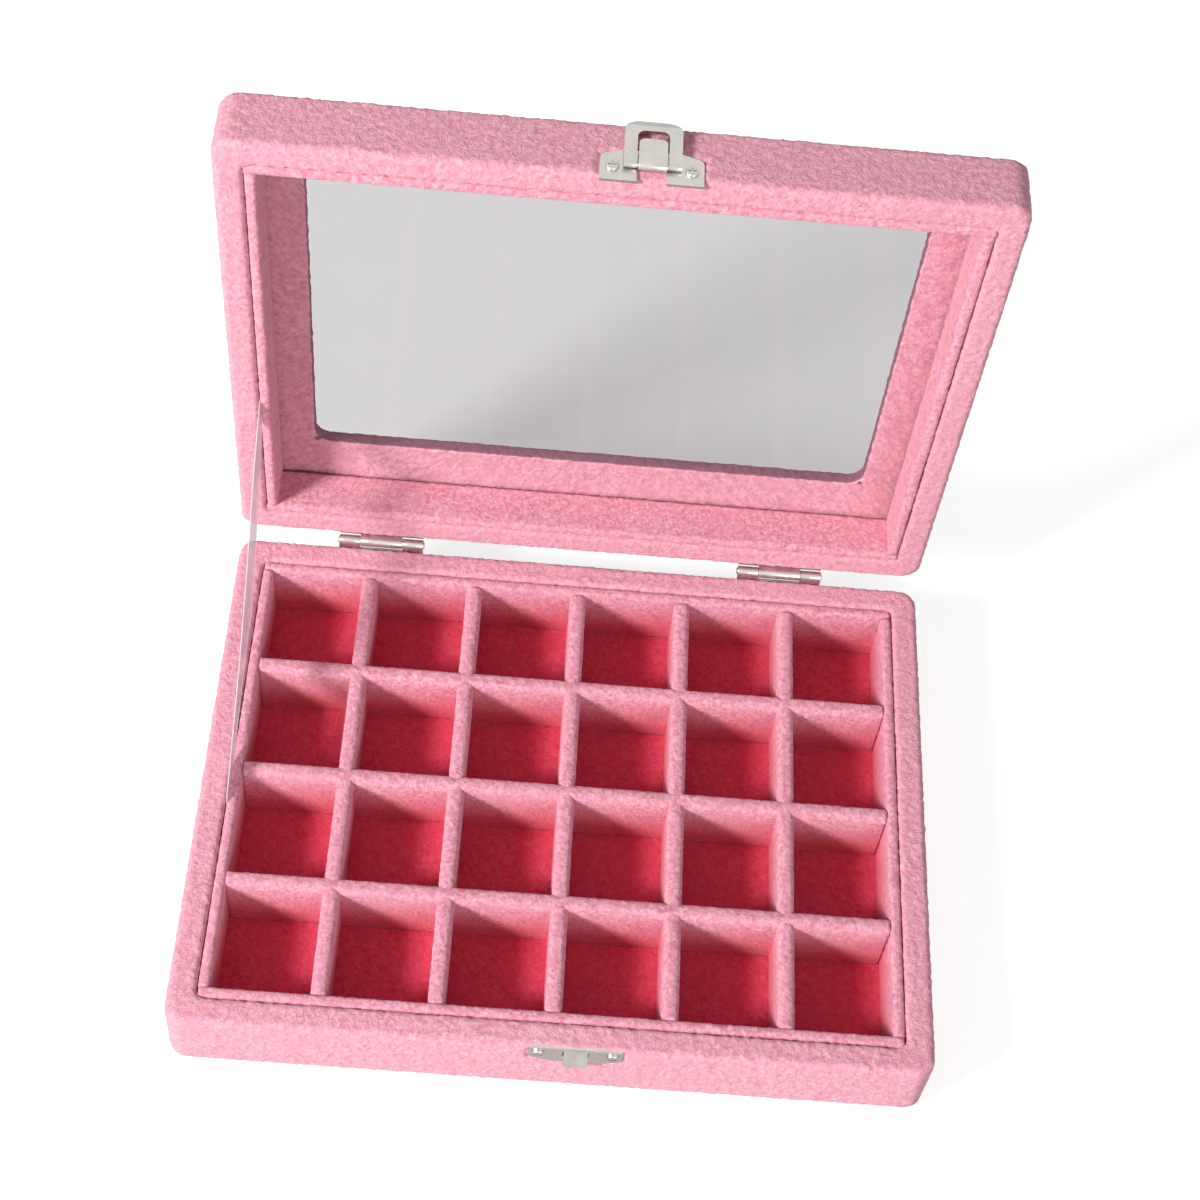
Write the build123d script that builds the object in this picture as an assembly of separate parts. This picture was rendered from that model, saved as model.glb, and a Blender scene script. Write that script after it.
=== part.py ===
from build123d import *
import math
import os

# Velvet jewellery case with a glazed lid, shown open.
# Millimetres. X runs left to right, Y front to back, Z up from the table.
# The origin is the middle of the underside of the base.
# The lid is drawn shut and then swung open about the hinge axis.

# Case
case_width = 200.0
case_depth = 154.0
base_height = 23.4
lid_height = 18.5
rim_width = 7.5
rim_gap = 1.4
corner_radius = 5.0
opening_radius = 3.0
rim_edge_radius = 1.8
rim_inner_radius = 1.4
bottom_edge_radius = 1.2
open_angle = 90.0

# Velvet, boards and sheets
velvet = 1.0
bottom_board_thickness = 1.8
hem_width = 12.0
sheet_clearance = 0.2
sheet_proud = 0.4
lid_board_thickness = 2.0
facing_thickness = 1.0
pane_thickness = 1.2

# Tray
seam = 0.6
floor_pad_thickness = 0.8
tray_wall_thickness = 2.6
tray_wall_drop = 0.3
tray_corner_radius = 2.4
tray_edge_radius = 1.1
divider_thickness = 4.6
divider_drop = 0.5
divider_edge_radius = 1.7
divider_clearance = 0.1
column_count = 6
row_count = 4

# Lid window and lining
window_width = 159.0
window_depth = 107.0
window_radius = 5.0
window_shift = -1.5
liner_thickness = 2.6
liner_drop = 0.3
liner_edge_radius = 1.0

# Hinges
hinge_spacing = 118.0
hinge_length = 24.6
hinge_leaf_height = 8.6
leaf_thickness = 0.7
hinge_pin_radius = 0.8
hinge_running_clearance = 0.05
leaf_seat_clearance = 0.1
centre_knuckle_length = 12.3
knuckle_gap = 0.15
pin_end_length = 0.4
hinge_screw_spacing = 15.0
hinge_screw_edge = 3.0
leaf_corner_radius = 1.2

# Latch on the lid
latch_centre_x = 6.4
plate_thickness = 0.8
plate_seat_clearance = 0.1
pocket_margin = 0.15
latch_plate_width = 25.4
latch_overhang = 1.1
latch_ear_height = 8.6
latch_plate_height = 10.4
latch_neck_width = 14.6
latch_corner_radius = 2.0
latch_notch_height = 4.2
latch_notch_clearance = 0.15
latch_pivot_height = 4.6
latch_bar_radius = 0.7
latch_running_clearance = 0.1
latch_barrel_wall = 0.7
tongue_width = 7.0
tongue_reach = 12.4
tongue_radius = 1.6

# Ring that swings over the catch
ring_width = 14.2
ring_window_width = 7.8
ring_window_length = 10.6
ring_straight_length = 12.2
ring_lip_length = 2.8
ring_lip_angle = 28.0
ring_thickness = 1.0
ring_corner_radius = 4.2
ring_window_radius = 1.8
ring_rest_tilt = 5.0
ring_end_radius = 0.8

# Catch on the base
catch_plate_width = 24.4
catch_ear_height = 5.6
catch_plate_height = 7.6
catch_neck_width = 11.6
catch_plate_drop = 0.3
hook_width = 6.2
hook_top_drop = 0.5
hook_length = 4.3
hook_reach = 2.7
hook_relief = 0.3

# Screws
screw_head_radius = 1.7
screw_head_height = 0.7
screw_shank_radius = 0.8
screw_length = 4.6
screw_hole_clearance = 0.1
screw_slot_width = 0.4
screw_slot_depth = 0.35
latch_screw_spacing = 19.4
latch_screw_height = 4.5
catch_screw_height = 3.0

# Lid stay, a clear film strap in the left seams
stay_width = 8.0
stay_thickness = 0.3
stay_base_y = -5.4
stay_lid_y = 24.4
stay_tuck = 8.0

# Levels and places worked out from the sizes above
half_width = case_width / 2
half_depth = case_depth / 2
board_top = base_height - velvet
cover_bottom = sheet_proud
bottom_board_bottom = cover_bottom + velvet
bottom_board_top = bottom_board_bottom + bottom_board_thickness
floor_top = bottom_board_top + floor_pad_thickness
tray_top = base_height - tray_wall_drop
divider_top = base_height - divider_drop
opening_width = case_width - 2 * rim_width
opening_depth = case_depth - 2 * rim_width
tray_width = opening_width - 2 * seam
tray_depth = opening_depth - 2 * seam
inner_width = tray_width - 2 * tray_wall_thickness
inner_depth = tray_depth - 2 * tray_wall_thickness

lid_rim = base_height + rim_gap
lid_top = lid_rim + lid_height
lid_board_top = lid_top - velvet
facing_top = lid_board_top - lid_board_thickness
pane_top = facing_top - facing_thickness
pane_bottom = pane_top - pane_thickness

barrel_radius = hinge_pin_radius + hinge_running_clearance + leaf_thickness
hinge_y = half_depth + leaf_seat_clearance + barrel_radius
hinge_z = base_height + rim_gap / 2
hinge_axis = Axis((0, hinge_y, hinge_z), (1, 0, 0))

front_face = -half_depth
plate_back = front_face + velvet - plate_seat_clearance
plate_front = plate_back - plate_thickness
latch_barrel_bore = latch_bar_radius + latch_running_clearance
latch_barrel_radius = latch_barrel_bore + latch_barrel_wall
latch_pivot_y = plate_front - latch_barrel_bore - latch_running_clearance
latch_bottom = lid_rim - latch_overhang
latch_top = latch_bottom + tongue_reach
latch_pivot_z = latch_bottom + latch_pivot_height
latch_screw_z = latch_bottom + latch_screw_height
catch_top = base_height - catch_plate_drop
catch_screw_z = catch_top - catch_screw_height
hinge_screw_offset = hinge_leaf_height - hinge_screw_edge


def block(x0, x1, y0, y1, z0, z1):
    """A box between two corners."""
    size = (x1 - x0, y1 - y0, z1 - z0)
    middle = ((x0 + x1) / 2, (y0 + y1) / 2, (z0 + z1) / 2)
    return Location(middle) * Box(*size)


def rounded_slab(width, depth, z0, z1, radius, y_shift=0.0):
    """An upright prism on a rounded rectangle."""
    outline = Location((0, y_shift, z0)) * RectangleRounded(width, depth, radius)
    return extrude(outline, z1 - z0)


def rod(radius, x0, x1, y, z):
    """A round bar along X."""
    return Location(((x0 + x1) / 2, y, z)) * (Rotation(0, 90, 0) * Cylinder(radius, x1 - x0))


def edges_at(shape, z):
    """Edges that lie in a level plane."""
    return shape.edges().filter_by_position(Axis.Z, z - 0.001, z + 0.001)


def edge_loop_at(shape, z, width, depth):
    """Edges of a level plane that lie inside or on a rectangle round the middle."""
    chosen = []
    for edge in edges_at(shape, z):
        box = edge.bounding_box()
        if max(-box.min.X, box.max.X) <= width / 2 + 0.01:
            if max(-box.min.Y, box.max.Y) <= depth / 2 + 0.01:
                chosen.append(edge)
    return chosen


def swung_open(shape):
    """A lid piece, drawn shut, turned to the open rest pose."""
    return shape.rotate(hinge_axis, -open_angle)


def save(name, shape):
    """One STEP file, named after its node."""
    solids = shape.solids() if not isinstance(shape, (list, tuple)) else shape
    export_step(solids[0] if len(solids) == 1 else Compound(list(solids)), f"parts/{name}.step")


# Screws

def screw(shank_length):
    """A pan-head screw along Z, head up, seat at the origin."""
    head = Location((0, 0, screw_head_height / 2)) * Cylinder(screw_head_radius, screw_head_height)
    head = fillet(edges_at(head, screw_head_height), screw_head_height * 0.6)
    for angle in (0, 90):
        slot = Rotation(0, 0, angle) * Box(screw_head_radius * 1.3, screw_slot_width, 2 * screw_slot_depth)
        head -= Location((0, 0, screw_head_height)) * slot
    shank = Location((0, 0, -shank_length / 2)) * Cylinder(screw_shank_radius, shank_length)
    return head + shank


def front_screw(x, z):
    """A screw through a plate on the front face."""
    return Location((x, plate_front, z)) * (Rotation(90, 0, 0) * screw(screw_length))


def back_screw(x, z):
    """A screw through a hinge leaf on the back face."""
    seat = half_depth + leaf_seat_clearance + leaf_thickness
    return Location((x, seat, z)) * (Rotation(-90, 0, 0) * screw(screw_length))


def screw_bores(places, radius, y):
    """Round holes along Y for screws, deep enough for the shank."""
    bores = []
    for x, z in places:
        bore = Rotation(90, 0, 0) * Cylinder(radius, 2 * screw_length + 2 * velvet)
        bores.append(Location((x, y, z)) * bore)
    return bores


latch_screw_places = [(latch_centre_x + s * latch_screw_spacing / 2, latch_screw_z) for s in (-1, 1)]
catch_screw_places = [(latch_centre_x + s * latch_screw_spacing / 2, catch_screw_z) for s in (-1, 1)]
hinge_centres = {"left": -hinge_spacing / 2, "right": hinge_spacing / 2}
base_hinge_screw_places = []
lid_hinge_screw_places = []
for centre in hinge_centres.values():
    for side in (-1, 1):
        x = centre + side * hinge_screw_spacing / 2
        base_hinge_screw_places.append((x, hinge_z - hinge_screw_offset))
        lid_hinge_screw_places.append((x, hinge_z + hinge_screw_offset))

pilot_radius = screw_shank_radius + screw_hole_clearance / 2
plate_hole_radius = screw_shank_radius + screw_hole_clearance


# Outlines of the latch and catch plates

def ear_outline(width, ear_height, full_height, neck_width, upward, margin=0.0):
    """An outline with two ears and a taller middle, grown by a margin all round."""
    s = 1 if upward else -1
    half = width / 2 + margin
    neck = neck_width / 2 + margin
    points = [
        (-half, -s * margin),
        (half, -s * margin),
        (half, s * (ear_height + margin)),
        (neck, s * (full_height + margin)),
        (-neck, s * (full_height + margin)),
        (-half, s * (ear_height + margin)),
    ]
    outline = make_face(Polyline(*points, close=True))
    corners = [v for v in outline.vertices() if abs(v.Y) > ear_height / 2]
    return fillet(corners, latch_corner_radius)


def on_front_face(outline, y, z, depth):
    """An outline stood upright at the latch and extruded towards the front."""
    upright = Plane(origin=(latch_centre_x, y, z), x_dir=(1, 0, 0), z_dir=(0, -1, 0))
    return extrude(upright * outline, depth)


# Walls of boards, shared by the base and the lid

def board_ring(z0, z1):
    """The four wall boards as one ring, inside the velvet."""
    outer = rounded_slab(case_width - 2 * velvet, case_depth - 2 * velvet, z0, z1, corner_radius - velvet)
    half_x = opening_width / 2 + velvet
    half_y = opening_depth / 2 + velvet
    return outer - block(-half_x, half_x, -half_y, half_y, z0, z1)


def split_walls(ring, inner_half_depth):
    """Cuts a ring into front, back, left and right walls that butt at the corners."""
    big = case_width
    walls = {
        "front": ring & block(-big, big, -big, -inner_half_depth, -big, big),
        "back": ring & block(-big, big, inner_half_depth, big, -big, big),
        "left": ring & block(-big, 0, -inner_half_depth, inner_half_depth, -big, big),
        "right": ring & block(0, big, -inner_half_depth, inner_half_depth, -big, big),
    }
    return walls


board_inner_half_depth = opening_depth / 2 + velvet


# Base

def make_base_cover():
    """Velvet wrap of the base: outside, rim, inside skirt and the hem turned under."""
    cover = rounded_slab(case_width, case_depth, cover_bottom, base_height, corner_radius)
    cover = fillet(edges_at(cover, base_height), rim_edge_radius)
    cover = fillet(edges_at(cover, cover_bottom), bottom_edge_radius)
    cover -= rounded_slab(opening_width, opening_depth, bottom_board_top, base_height, opening_radius)
    cover = fillet(edge_loop_at(cover, base_height, opening_width, opening_depth), rim_inner_radius)
    cover -= make_bottom_board()
    cover -= board_ring(bottom_board_top, board_top)
    cover -= rounded_slab(
        case_width - 2 * hem_width, case_depth - 2 * hem_width, cover_bottom, bottom_board_bottom, opening_radius
    )
    catch_outline = ear_outline(
        catch_plate_width, catch_ear_height, catch_plate_height, catch_neck_width, False, pocket_margin
    )
    cover -= on_front_face(catch_outline, front_face + velvet, catch_top, 2 * velvet)
    for bore in screw_bores(base_hinge_screw_places, pilot_radius, half_depth):
        cover -= bore
    return cover


def make_base_boards():
    """Four wall boards of the base, with pilot holes."""
    ring = board_ring(bottom_board_top, board_top)
    walls = split_walls(ring, board_inner_half_depth)
    for bore in screw_bores(catch_screw_places, pilot_radius, front_face):
        walls["front"] -= bore
    for bore in screw_bores(base_hinge_screw_places, pilot_radius, half_depth):
        walls["back"] -= bore
    return walls


def make_bottom_board():
    """Stiff board under the tray."""
    width = case_width - 2 * velvet
    depth = case_depth - 2 * velvet
    return rounded_slab(width, depth, bottom_board_bottom, bottom_board_top, corner_radius - velvet)


def make_underside_sheet():
    """Sheet glued in the hem's opening, a little proud of the hem, that the case rests on."""
    width = case_width - 2 * hem_width - 2 * sheet_clearance
    depth = case_depth - 2 * hem_width - 2 * sheet_clearance
    return rounded_slab(width, depth, 0, bottom_board_bottom, opening_radius - sheet_clearance)


# Tray

def make_floor_pad():
    """Velvet-covered card on the bottom board, under the whole tray."""
    return rounded_slab(tray_width, tray_depth, bottom_board_top, floor_top, tray_corner_radius)


def make_tray_walls():
    """Four velvet-wrapped walls round the cells."""
    ring = rounded_slab(tray_width, tray_depth, floor_top, tray_top, tray_corner_radius)
    ring -= block(-inner_width / 2, inner_width / 2, -inner_depth / 2, inner_depth / 2, floor_top, tray_top)
    ring = fillet(edges_at(ring, tray_top), tray_edge_radius)
    return split_walls(ring, inner_depth / 2)


cell_width = (inner_width - (column_count - 1) * divider_thickness) / column_count
cell_depth = (inner_depth - (row_count - 1) * divider_thickness) / row_count
column_pitch = cell_width + divider_thickness
row_pitch = cell_depth + divider_thickness
cross_places = [-inner_width / 2 + (i + 1) * column_pitch - divider_thickness / 2 for i in range(column_count - 1)]
long_places = [inner_depth / 2 - (i + 1) * row_pitch + divider_thickness / 2 for i in range(row_count - 1)]
lap_height = (floor_top + divider_top) / 2


def make_long_divider(y):
    """Divider along X, slotted from below for the cross dividers."""
    half = inner_width / 2 - divider_clearance
    divider = block(-half, half, y - divider_thickness / 2, y + divider_thickness / 2, floor_top, divider_top)
    divider = fillet(edges_at(divider, divider_top).filter_by(Axis.X), divider_edge_radius)
    slot = divider_thickness / 2 + divider_clearance
    for x in cross_places:
        divider -= block(
            x - slot, x + slot, y - divider_thickness, y + divider_thickness,
            floor_top, lap_height + divider_clearance / 2,
        )
    return divider


def make_cross_divider(x):
    """Divider along Y, slotted from above for the long dividers."""
    half = inner_depth / 2 - divider_clearance
    divider = block(x - divider_thickness / 2, x + divider_thickness / 2, -half, half, floor_top, divider_top)
    divider = fillet(edges_at(divider, divider_top).filter_by(Axis.Y), divider_edge_radius)
    slot = divider_thickness / 2 + divider_clearance
    for y in long_places:
        divider -= block(
            x - divider_thickness, x + divider_thickness, y - slot, y + slot,
            lap_height - divider_clearance / 2, divider_top,
        )
    return divider


# Lid, drawn shut

def make_lid_cover():
    """Velvet wrap of the lid: rim, sides, top and the edge of the window."""
    cover = rounded_slab(case_width, case_depth, lid_rim, lid_top, corner_radius)
    cover = fillet(edges_at(cover, lid_top), rim_edge_radius)
    cover = fillet(edges_at(cover, lid_rim), rim_edge_radius)
    cover -= rounded_slab(opening_width, opening_depth, lid_rim, facing_top, opening_radius)
    cover = fillet(edge_loop_at(cover, lid_rim, opening_width, opening_depth), rim_inner_radius)
    cover -= rounded_slab(window_width, window_depth, facing_top, lid_top, window_radius, window_shift)
    board_hollow = rounded_slab(
        case_width - 2 * velvet, case_depth - 2 * velvet, facing_top, lid_board_top, corner_radius - velvet
    )
    board_hollow -= rounded_slab(
        window_width + 2 * velvet, window_depth + 2 * velvet,
        facing_top, lid_board_top, window_radius + velvet, window_shift,
    )
    cover -= board_hollow
    cover -= board_ring(lid_rim + velvet, facing_top)
    latch_outline = ear_outline(
        latch_plate_width, latch_ear_height, latch_plate_height, latch_neck_width, True, pocket_margin
    )
    cover -= on_front_face(latch_outline, front_face + velvet, latch_bottom, 2 * velvet)
    for bore in screw_bores(lid_hinge_screw_places, pilot_radius, half_depth):
        cover -= bore
    return cover


def make_lid_boards():
    """Four wall boards of the lid, with pilot holes."""
    ring = board_ring(lid_rim + velvet, facing_top)
    walls = split_walls(ring, board_inner_half_depth)
    for bore in screw_bores(latch_screw_places, pilot_radius, front_face):
        walls["front"] -= bore
    for bore in screw_bores(lid_hinge_screw_places, pilot_radius, half_depth):
        walls["back"] -= bore
    return walls


def make_lid_top_board():
    """Board of the lid's top, with the window cut out."""
    board = rounded_slab(
        case_width - 2 * velvet, case_depth - 2 * velvet, facing_top, lid_board_top, corner_radius - velvet
    )
    board -= rounded_slab(
        window_width + 2 * velvet, window_depth + 2 * velvet,
        facing_top, lid_board_top, window_radius + velvet, window_shift,
    )
    return board


def make_window_facing():
    """Velvet-faced card behind the pane, framing the window inside the lid."""
    facing = rounded_slab(opening_width, opening_depth, pane_top, facing_top, opening_radius)
    facing -= rounded_slab(window_width, window_depth, pane_top, facing_top, window_radius, window_shift)
    return facing


def make_pane():
    """Clear pane, held between the facing and the liners."""
    return rounded_slab(
        opening_width - 2 * sheet_clearance, opening_depth - 2 * sheet_clearance,
        pane_bottom, pane_top, opening_radius - sheet_clearance,
    )


def make_lid_liners():
    """Four velvet-wrapped strips that hold the pane up against its facing."""
    liner_bottom = lid_rim + liner_drop
    ring = rounded_slab(tray_width, tray_depth, liner_bottom, pane_bottom, tray_corner_radius)
    half_x = tray_width / 2 - liner_thickness
    half_y = tray_depth / 2 - liner_thickness
    ring -= block(-half_x, half_x, -half_y, half_y, liner_bottom, pane_bottom)
    ring = fillet(edges_at(ring, liner_bottom), liner_edge_radius)
    return split_walls(ring, half_y)


# Hinges

def knuckle_spans(centre):
    """X spans of the two outer knuckles and the middle one."""
    outer = hinge_length / 2
    inner = centre_knuckle_length / 2
    return (
        (centre - outer, centre - inner - knuckle_gap),
        (centre - inner, centre + inner),
        (centre + inner + knuckle_gap, centre + outer),
    )


def edges_of_plate(plate, z):
    """The short edges through a leaf's thickness at its far end."""
    return plate.edges().filter_by(Axis.Y).filter_by_position(Axis.Z, z - 0.01, z + 0.01)


def make_leaf(centre, side, own, other, screw_places):
    """A hinge leaf: side -1 hangs down on the base, +1 stands up on the lid."""
    near = half_depth + leaf_seat_clearance
    z0, z1 = sorted((hinge_z, hinge_z + side * hinge_leaf_height))
    half = hinge_length / 2
    plate = block(centre - half, centre + half, near, near + leaf_thickness, z0, z1)
    far_edges = edges_of_plate(plate, hinge_z + side * hinge_leaf_height)
    plate = fillet(far_edges, leaf_corner_radius)
    clear = barrel_radius + knuckle_gap
    for x0, x1 in other:
        plate -= block(
            x0 - knuckle_gap, x1 + knuckle_gap, near - 1, near + leaf_thickness + 1,
            hinge_z - clear, hinge_z + clear,
        )
    for x0, x1 in own:
        plate += rod(barrel_radius, x0, x1, hinge_y, hinge_z)
    plate -= rod(
        hinge_pin_radius + hinge_running_clearance, centre - half - 1, centre + half + 1, hinge_y, hinge_z
    )
    for bore in screw_bores(screw_places, plate_hole_radius, half_depth):
        plate -= bore
    return plate


def make_hinge_pin(centre):
    """Pin through the three knuckles, a little proud at each end."""
    half = hinge_length / 2 + pin_end_length
    return rod(hinge_pin_radius, centre - half, centre + half, hinge_y, hinge_z)


# Latch and catch

def make_latch_plate():
    """Plate on the lid with the tongue folded round the ring's bar."""
    outline = ear_outline(latch_plate_width, latch_ear_height, latch_plate_height, latch_neck_width, True)
    plate = on_front_face(outline, plate_back, latch_bottom, plate_thickness)
    half = tongue_width / 2
    x0, x1 = latch_centre_x - half, latch_centre_x + half
    plate -= block(
        x0 - latch_notch_clearance, x1 + latch_notch_clearance, plate_front - 1, plate_back + 1,
        latch_bottom - 1, latch_bottom + latch_notch_height,
    )
    plate += rod(latch_barrel_radius, x0, x1, latch_pivot_y, latch_pivot_z)
    tongue_front = latch_pivot_y - latch_barrel_radius
    tongue = block(x0, x1, tongue_front, tongue_front + latch_barrel_wall, latch_pivot_z, latch_top)
    tongue = fillet(
        tongue.edges().filter_by(Axis.Y).filter_by_position(Axis.Z, latch_top - 0.01, latch_top + 0.01),
        tongue_radius,
    )
    plate += tongue
    plate -= rod(latch_barrel_bore, x0 - 1, x1 + 1, latch_pivot_y, latch_pivot_z)
    for bore in screw_bores(latch_screw_places, plate_hole_radius, front_face):
        plate -= bore
    return plate


def make_latch_ring():
    """Ring with a bent lip, drawn straight up from its pivot and then tilted."""
    half = ring_width / 2
    gap = ring_window_width / 2
    t = ring_thickness / 2
    lip = math.radians(ring_lip_angle)
    lip_run = ring_lip_length * math.sin(lip)
    lip_rise = ring_lip_length * math.cos(lip)
    bend_z = latch_pivot_z + ring_straight_length
    y = latch_pivot_y
    # Side view of the strip, bent towards the lid at its far end.
    side = make_face(Polyline(
        (y - t, latch_pivot_z),
        (y - t, bend_z),
        (y - t + lip_run, bend_z + lip_rise),
        (y + t * math.cos(lip) + lip_run, bend_z + lip_rise - t * math.sin(lip)),
        (y + t, bend_z),
        (y + t, latch_pivot_z),
        close=True,
    ))
    profile = Plane(origin=(latch_centre_x - half, 0, 0), x_dir=(0, 1, 0), z_dir=(1, 0, 0)) * side
    strip = extrude(profile, ring_width)
    # Front view of the ring cuts the corners and the window.
    upright = Plane(origin=(latch_centre_x, y - ring_width, 0), x_dir=(1, 0, 0), z_dir=(0, 1, 0))
    low = latch_pivot_z
    high = bend_z + lip_rise
    sign = -1  # the sketch's own Y runs down in this plane
    face = make_face(Polyline(
        (-half, sign * low), (half, sign * low), (half, sign * high), (-half, sign * high), close=True
    ))
    face = fillet([v for v in face.vertices() if abs(v.Y - sign * high) < 0.01], ring_corner_radius)
    window = make_face(Polyline(
        (-gap, sign * (low - 2)), (gap, sign * (low - 2)),
        (gap, sign * (low + ring_window_length)), (-gap, sign * (low + ring_window_length)), close=True,
    ))
    window = fillet(
        [v for v in window.vertices() if abs(v.Y - sign * (low + ring_window_length)) < 0.01],
        ring_window_radius,
    )
    ring = strip & extrude(upright * (face - window), 2 * ring_width)
    for x0, x1 in ((latch_centre_x - half, latch_centre_x - gap), (latch_centre_x + gap, latch_centre_x + half)):
        ring += rod(ring_end_radius, x0, x1, y, latch_pivot_z)
    ring += rod(latch_bar_radius, latch_centre_x - gap, latch_centre_x + gap, y, latch_pivot_z)
    pivot = Axis((0, latch_pivot_y, latch_pivot_z), (1, 0, 0))
    return ring.rotate(pivot, ring_rest_tilt)


def make_catch_plate():
    """Plate on the base with a tab pressed out as a ramp for the ring."""
    outline = ear_outline(catch_plate_width, catch_ear_height, catch_plate_height, catch_neck_width, False)
    plate = on_front_face(outline, plate_back, catch_top, plate_thickness)
    hook_top = catch_top - hook_top_drop
    half = hook_width / 2
    x0, x1 = latch_centre_x - half, latch_centre_x + half
    plate -= block(
        x0 - hook_relief, x1 + hook_relief, plate_front - 1, plate_back + 1,
        hook_top - hook_length + plate_thickness, hook_top - plate_thickness,
    )
    side = make_face(Polyline(
        (plate_back, hook_top),
        (plate_front, hook_top),
        (plate_front - hook_reach, hook_top - hook_length),
        (plate_front - hook_reach + plate_thickness, hook_top - hook_length),
        (plate_back, hook_top - 1.2 * plate_thickness),
        close=True,
    ))
    profile = Plane(origin=(x0, 0, 0), x_dir=(0, 1, 0), z_dir=(1, 0, 0)) * side
    plate += extrude(profile, hook_width)
    for bore in screw_bores(catch_screw_places, plate_hole_radius, front_face):
        plate -= bore
    return plate


# Lid stay

def make_stay():
    """Straight film strap from the base's left seam to the open lid's left seam."""
    turn = math.radians(open_angle)
    lid_y = stay_lid_y - hinge_y
    lid_z = lid_rim - hinge_z
    end_y = hinge_y + lid_y * math.cos(turn) + lid_z * math.sin(turn)
    end_z = hinge_z - lid_y * math.sin(turn) + lid_z * math.cos(turn)
    run, rise = end_y - stay_base_y, end_z - base_height
    length = math.hypot(run, rise)
    strap = Box(stay_thickness, length + 2 * stay_tuck, stay_width)
    strap = fillet(strap.edges().filter_by(Axis.X), stay_thickness * 3)
    x = -tray_width / 2 - seam / 2
    middle = (x, (stay_base_y + end_y) / 2, (base_height + end_z) / 2)
    return Location(middle) * (Rotation(math.degrees(math.atan2(rise, run)), 0, 0) * strap), length


os.makedirs("parts", exist_ok=True)

save("base_cover", make_base_cover())
for side, board in make_base_boards().items():
    save(f"base_{side}_board", board)
save("base_bottom_board", make_bottom_board())
save("base_underside_sheet", make_underside_sheet())
save("tray_floor_pad", make_floor_pad())
for side, wall in make_tray_walls().items():
    save(f"tray_{side}_wall", wall)
for number, y in enumerate(long_places, 1):
    save(f"tray_long_divider_{number}", make_long_divider(y))
for number, x in enumerate(cross_places, 1):
    save(f"tray_cross_divider_{number}", make_cross_divider(x))

save("lid_cover", swung_open(make_lid_cover()))
for side, board in make_lid_boards().items():
    save(f"lid_{side}_board", swung_open(board))
save("lid_top_board", swung_open(make_lid_top_board()))
save("lid_window_facing", swung_open(make_window_facing()))
save("lid_pane", swung_open(make_pane()))
for side, liner in make_lid_liners().items():
    save(f"lid_{side}_liner", swung_open(liner))

for side, centre in hinge_centres.items():
    left_span, middle_span, right_span = knuckle_spans(centre)
    on_this = [place for place in base_hinge_screw_places if abs(place[0] - centre) < hinge_length]
    base_leaf = make_leaf(centre, -1, (left_span, right_span), (middle_span,), on_this)
    save(f"hinge_{side}_base_leaf", base_leaf)
    on_this = [place for place in lid_hinge_screw_places if abs(place[0] - centre) < hinge_length]
    lid_leaf = make_leaf(centre, 1, (middle_span,), (left_span, right_span), on_this)
    save(f"hinge_{side}_lid_leaf", swung_open(lid_leaf))
    save(f"hinge_{side}_pin", make_hinge_pin(centre))
save("hinge_base_screws", Compound([s for p in base_hinge_screw_places for s in back_screw(*p).solids()]))
save("hinge_lid_screws", swung_open(Compound([s for p in lid_hinge_screw_places for s in back_screw(*p).solids()])))

save("latch_plate", swung_open(make_latch_plate()))
save("latch_screws", swung_open(Compound([s for p in latch_screw_places for s in front_screw(*p).solids()])))
save("latch_ring", swung_open(make_latch_ring()))
save("catch_plate", make_catch_plate())
save("catch_screws", Compound([s for p in catch_screw_places for s in front_screw(*p).solids()]))

stay, stay_length = make_stay()
save("lid_stay", stay)

# Places that the record needs, in the open rest pose.
pivot_y = latch_pivot_y - hinge_y
pivot_z = latch_pivot_z - hinge_z
turn = math.radians(open_angle)
open_pivot_y = hinge_y + pivot_y * math.cos(turn) + pivot_z * math.sin(turn)
open_pivot_z = hinge_z - pivot_y * math.sin(turn) + pivot_z * math.cos(turn)
print("hinge axis", round(hinge_y, 3), round(hinge_z, 3))
print("latch pivot at rest", round(open_pivot_y, 3), round(open_pivot_z, 3))
print("cell size", round(cell_width, 3), round(cell_depth, 3), "stay length", round(stay_length, 2))
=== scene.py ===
# %% [markdown]
# # A velvet jewellery case with a glazed lid
# The case is a shallow base with a tray of twenty-four cells, and a lid with a window, standing open.
# Nearly all of it is board wrapped in short pink plush, with a nickel latch and two small hinges.
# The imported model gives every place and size. Here each wrapped piece gets its plush surface,
# each metal piece its soft edges, and the scene its camera and light.

# %% Load the frame
import math
import bmesh
import bpy
from mathutils import Matrix, Vector


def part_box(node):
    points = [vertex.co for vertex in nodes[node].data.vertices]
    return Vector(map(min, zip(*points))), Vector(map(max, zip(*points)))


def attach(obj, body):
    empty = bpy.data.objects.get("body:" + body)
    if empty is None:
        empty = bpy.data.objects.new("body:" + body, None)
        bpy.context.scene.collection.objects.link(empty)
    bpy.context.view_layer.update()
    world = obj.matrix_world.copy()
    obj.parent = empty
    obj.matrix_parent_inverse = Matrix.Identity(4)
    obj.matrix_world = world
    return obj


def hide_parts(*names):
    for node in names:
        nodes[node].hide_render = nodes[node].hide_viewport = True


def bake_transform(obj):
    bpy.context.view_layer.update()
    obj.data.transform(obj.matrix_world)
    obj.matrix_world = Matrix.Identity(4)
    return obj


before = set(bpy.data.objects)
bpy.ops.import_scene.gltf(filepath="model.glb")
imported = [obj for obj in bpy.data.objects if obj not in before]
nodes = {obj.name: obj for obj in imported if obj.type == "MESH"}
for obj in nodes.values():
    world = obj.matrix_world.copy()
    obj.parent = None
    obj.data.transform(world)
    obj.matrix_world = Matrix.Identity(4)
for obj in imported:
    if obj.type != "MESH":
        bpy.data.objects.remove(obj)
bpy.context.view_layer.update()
print("CAD pieces:", len(nodes))

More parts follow.
